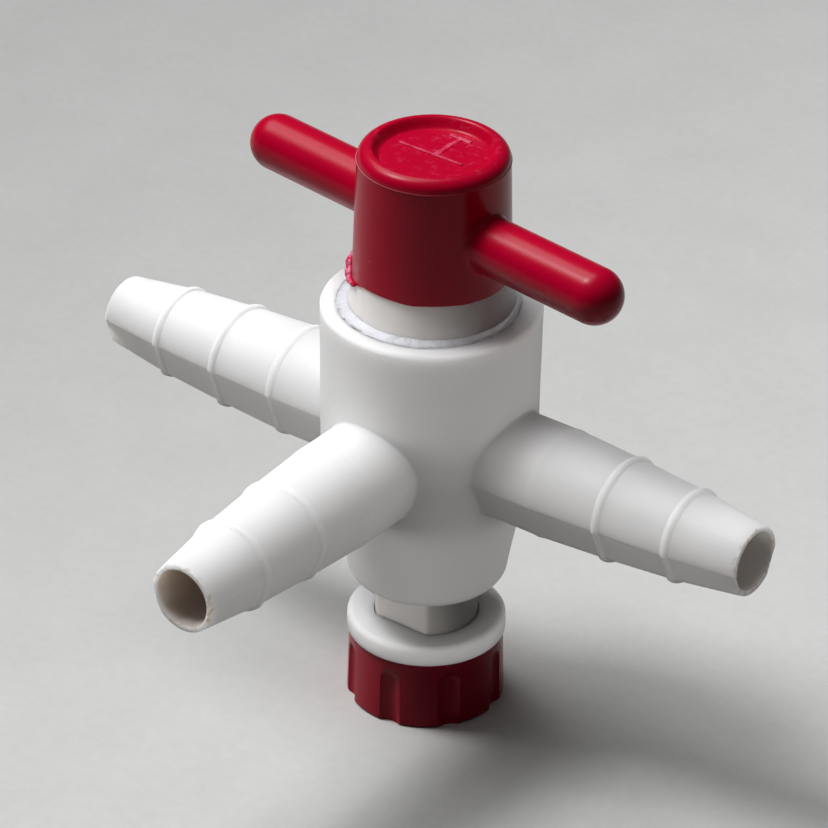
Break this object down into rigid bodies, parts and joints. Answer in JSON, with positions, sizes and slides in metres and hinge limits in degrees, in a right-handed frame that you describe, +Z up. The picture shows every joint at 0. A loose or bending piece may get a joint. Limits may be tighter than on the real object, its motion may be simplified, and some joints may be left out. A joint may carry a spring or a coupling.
{
  "type": "three-way plastic stopcock",
  "caption": "Three-way plastic stopcock: white barrel with beaded hose ports, tapered T-bore plug, red T-handle, and a washer and thumb nut on the plug's tail.",
  "frame": {"origin": "middle of the nut's underside, on the plug's axis", "axes": "+Z up the plug's axis towards the handle, +X along one of the two in-line ports, -Y along the side port"},
  "size_m": [0.0908, 0.0582, 0.0727],
  "materials": {
    "white_moulding": "satin white moulded plastic",
    "ivory_plug": "slightly warmer waxy white moulded plastic",
    "red_moulding": "semi-gloss red moulded plastic"
  },
  "bodies": {
    "body": {"body": "white_moulding"},
    "key": {"plug": "ivory_plug", "handle": "red_moulding"},
    "washer": {"washer": "white_moulding"},
    "nut": {"nut": "red_moulding"}
  },
  "joints": [
    {"name": "key_turn", "type": "hinge", "parent": "body", "child": "key", "pos_m": [0, 0, 0.0353], "axis": [0, 0, 1], "continuous": true},
    {"name": "washer_slide", "type": "slide", "parent": "key", "child": "washer", "axis": [0, 0, 1], "range_m": [-0.002, 0.0049]},
    {"name": "nut_turn", "type": "hinge", "parent": "washer", "child": "nut", "pos_m": [0, 0, 0.0043], "axis": [0, 0, 1], "range_deg": [-360, 864]}
  ],
  "couplings": [
    {"joint": "washer_slide", "follows": "nut_turn", "m_per_rad": 0.00031831}
  ]
}
